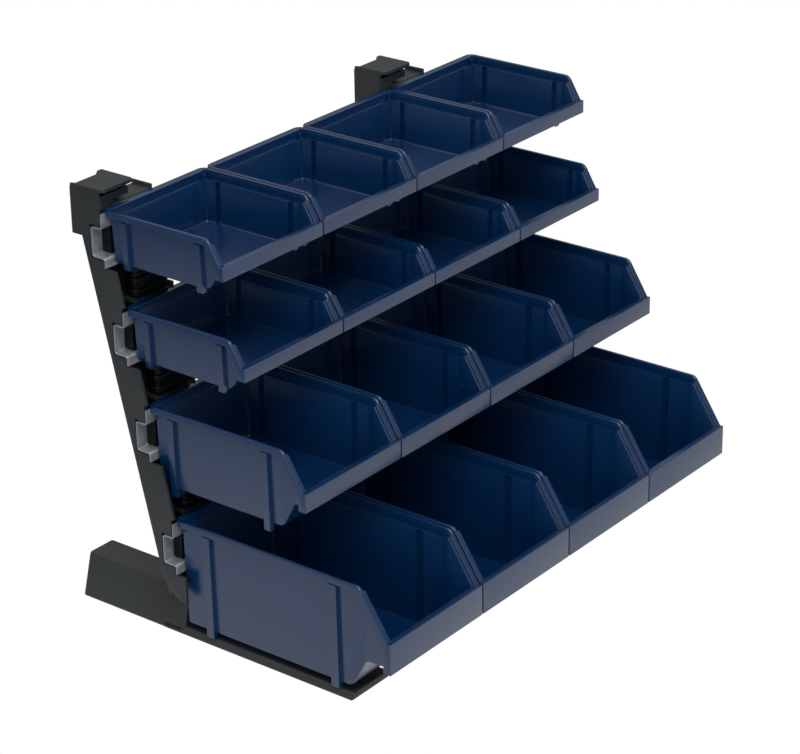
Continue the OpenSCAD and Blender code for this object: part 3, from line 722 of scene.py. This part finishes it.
railScrew = dict(Head=4.0, Height=2.6, Shank=2.0, Length=16.0)
footScrew = dict(Head=5.0, Height=2.6, Shank=2.5, Length=18.0)
footScrewX = (-7.0, 7.0)
screws = screwTree()
for side, at in sidesAt.items():
    # the rail screws are built upright, then turned so that their heads look to the rear
    turn = Matrix.Rotation(math.radians(-90), 4, "X")
    spots = [Vector((at + x, rearAt(z + up["screwZ"]) + up["bossOut"], z + up["screwZ"])) + rackAt
             for y, z in rowPlaces for x in up["screwX"]]
    railMesh = baked(screws, railScrew, [turn.inverted() @ p for p in spots])
    railMesh.transform(turn)
    high = footSizes["high"]
    footY = rearAt(high) + up["baseRear"] / 2
    spots = [Vector((at + footSizes["mid"] + x, footY, high + up["base"])) + rackAt for x in footScrewX]
    footMesh = baked(screws, footScrew, spots)
    for kind, mesh in (("rail", railMesh), ("foot", footMesh)):
        bm = bmesh.new()
        bm.from_mesh(mesh)
        finishPiece(bm, f"{kind}Screws_{side}_shape", zincSteel, "rack",
                    [f"{kind}_screws_{side}"])
print("screws ready")

capSizes = dict(top=328.4, t=3.0, front=-5.0, rear=25.2, wall=0.6, slot=321.5, right=29.0, corner=6.0,
                ribX=17.0, channelX=11.5, wallT=3.0, floorT=2.0, ribHalf=1.0, chamfer=1.5, planRear=24.8,
                frontLow=316.1, channelLow=302.2, sideLow=317.0,
                dents=((24.6, 24.8), (17.3, 19.4), (12.9, 20.5), (1.2, 17.8), (-0.3, 18.6), (-2.5, 24.8)))
for side, at in sidesAt.items():
    c = capSizes
    bm = bmesh.new()
    under, rearIn, wallIn = c["top"] - c["t"], c["rear"] - 1.0, c["wall"] + 1.0
    notchTop, shelf = (rowPlaces[0][1] + up[key] for key in ("notchTop", "channel"))
    turns = [(c["corner"] - up["t"] - c["corner"] * math.cos(a), c["front"] + c["corner"] * (1 - math.sin(a)))
             for a in (math.pi / 12 * i for i in range(7))]
    plan = turns + [(c["right"] - c["chamfer"], c["front"]), (c["right"], c["front"] + c["chamfer"]),
                    (c["right"], c["planRear"]), *c["dents"]]
    addPlate(bm, [(at + x + rackAt.x, y + rackAt.y) for x, y in plan], alongZ, under, c["top"], 0.7, 3)
    front = c["wall"] if side == "right" else frontAt(under)
    edge = [(front, under + 0.3)]
    if side == "left":
        edge += [(frontAt(notchTop), notchTop), (up["notchIn"], notchTop), (up["notchIn"], shelf)]
    else:
        edge.append((front, shelf))
    edge += [(up["notchRear"], shelf), (up["notchRear"], up["capZ"]), (c["rear"], up["capZ"]),
             (c["rear"], under + 0.3)]
    slab(bm, edge, at - up["t"], at, 0.5)
    for y0, z0, y1, z1, x0, x1, width in (
            (c["rear"] - c["wallT"], up["capZ"], c["rear"], under + 0.6, -1.0, c["right"], 0.6),
            (wallIn, c["slot"] - c["floorT"], rearIn, c["slot"], -1.0, c["right"] - 1, 0.4),
            (c["wall"], c["frontLow"], c["wall"] + c["wallT"], c["slot"], -1.0, c["right"], 0.6),
            (c["wall"], c["channelLow"], c["wall"] + c["wallT"], c["sideLow"], -1.0, c["channelX"], 0.5),
            (wallIn, c["slot"] - c["floorT"], rearIn, under + 0.5, c["ribX"] - c["ribHalf"],
             c["ribX"] + c["ribHalf"], 0.3),
            (wallIn, c["sideLow"], rearIn, under + 0.5, c["right"] - 3, c["right"] - 0.5, 0.4)):
        slab(bm, [(y0, z0), (y1, z0), (y1, z1), (y0, z1)], at + x0, at + x1, width)
    finishPiece(bm, f"cap_{side}_shape", framePlastic, "rack", [f"cap_{side}"])
print("caps ready")

# these keep their CAD meshes
keep = {"pads_left": padRubber, "pads_right": padRubber, "clips_left": blackPlastic,
        "clips_right": blackPlastic}
for name, mat in keep.items():
    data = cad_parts[name].data
    data.materials.clear()
    data.materials.append(mat)


def aim(azimuth, elevation, roll):
    a, e, r = (math.radians(v) for v in (azimuth, elevation, roll))
    back = Vector((math.sin(a) * math.cos(e), -math.cos(a) * math.cos(e), math.sin(e)))
    right = (-back).cross(Vector((0, 0, 1))).normalized()
    above = right.cross(-back)
    c, s = math.cos(r), math.sin(r)
    return Matrix((right * c + above * s, above * c - right * s, back)).transposed().to_4x4()


view = dict(azimuth=-51.9228, elevation=24.4923, roll=-0.8847, focal=123.39, place=(-1446.1, -1124.3, 972.7))
camData = bpy.data.cameras.new("camera")
camData.lens = view["focal"]
camData.clip_end = 20.0
cam = bpy.data.objects.new("camera", camData)
cam.matrix_world = Matrix.Translation(Vector(view["place"]) * mm) @ aim(view["azimuth"], view["elevation"],
                                                                       view["roll"])
bpy.context.scene.collection.objects.link(cam)
bpy.context.scene.camera = cam
bpy.context.scene.view_settings.view_transform = "Standard"


def byRay(tree, seen, mirrored, other):
    # what the camera sees, what shiny faces see, and what lights the object
    path = tree.nodes.new("ShaderNodeLightPath")
    for flag, shader in (("Is Glossy Ray", mirrored), ("Is Camera Ray", seen)):
        chance = Sock(tree, path.outputs[flag])
        other = chance.node("ShaderNodeMixShader", {0: chance, 1: other, 2: shader})
    return other


light = dict(world=0.62, mirrorLow=0.1, mirrorHigh=0.85)
lamps = {"key": dict(power=46.0, size=1.8, place=(-0.9, -1.2, 2.4), target=(0, 0, 0.1)),
         "fill": dict(power=10.0, size=1.6, place=(-2.6, -0.6, 0.9), target=(0, 0, 0.15))}
world = bpy.data.worlds.new("world")
bpy.context.scene.world = world
world.use_nodes = True
wt = world.node_tree
wt.nodes.clear()
wCoord = Sock(wt, wt.nodes.new("ShaderNodeTexCoord").outputs["Generated"])
height = wCoord.node("ShaderNodeSeparateXYZ", {"Vector": wCoord}, out="Z")
mirror = height.span(0.1, 0.8, light["mirrorLow"], light["mirrorHigh"])
shades = [wCoord.node("ShaderNodeBackground", {"Strength": v, "Color": (1, 1, 1, 1)})
          for v in (1.0, mirror, light["world"])]
wOut = wt.nodes.new("ShaderNodeOutputWorld")
wt.links.new(byRay(wt, *shades).out, wOut.inputs[0])


def addArea(name, power, size, place, target):
    data = bpy.data.lights.new(name, "AREA")
    data.shape = "DISK"
    data.size = size
    data.energy = power
    obj = bpy.data.objects.new(name, data)
    obj.location = place
    way = Vector(target) - Vector(place)
    obj.rotation_euler = way.to_track_quat("-Z", "Y").to_euler()
    bpy.context.scene.collection.objects.link(obj)


for name, lamp in lamps.items():
    addArea(name, **lamp)

# the floor's mirrored brightness falls off to the side and to the front
ground = dict(half=4.0, low=-0.0005, grey=0.78, way=(0.79, -0.61, 0.0), sideFar=0.22, sideNear=0.68,
              frontNear=1.0, frontFar=0.75)
floorMesh = bpy.data.meshes.new("floor")
floorMesh.from_pydata([(x * ground["half"], y * ground["half"], ground["low"])
                       for x, y in ((-1, -1), (1, -1), (1, 1), (-1, 1))], [], [(0, 1, 2, 3)])
floor = bpy.data.objects.new("floor", floorMesh)
bpy.context.scene.collection.objects.link(floor)
floorMat = bpy.data.materials.new("floorMat")
floorMat.use_nodes = True
ft = floorMat.node_tree
ft.nodes.clear()
fCoord = Sock(ft, ft.nodes.new("ShaderNodeTexCoord").outputs["Object"])
across = fCoord.node("ShaderNodeVectorMath", {0: fCoord, 1: ground["way"]}, out="Value",
                     operation="DOT_PRODUCT")
bySide = across.span(-0.85, -0.25, ground["sideFar"], ground["sideNear"])
byFront = across.span(0.05, 0.45, ground["frontNear"], ground["frontFar"])
bounce = bySide + (byFront - bySide) * across.span(-0.12, 0.0)
glow = fCoord.node("ShaderNodeEmission", {"Strength": 1.0})
shine = fCoord.node("ShaderNodeEmission", {"Strength": bounce})
matt = fCoord.node("ShaderNodeBsdfDiffuse", {0: (ground["grey"],) * 3 + (1,)})
fOut = ft.nodes.new("ShaderNodeOutputMaterial")
ft.links.new(byRay(ft, glow, shine, matt).out, fOut.inputs[0])
floorMesh.materials.append(floorMat)
print("stage ready")
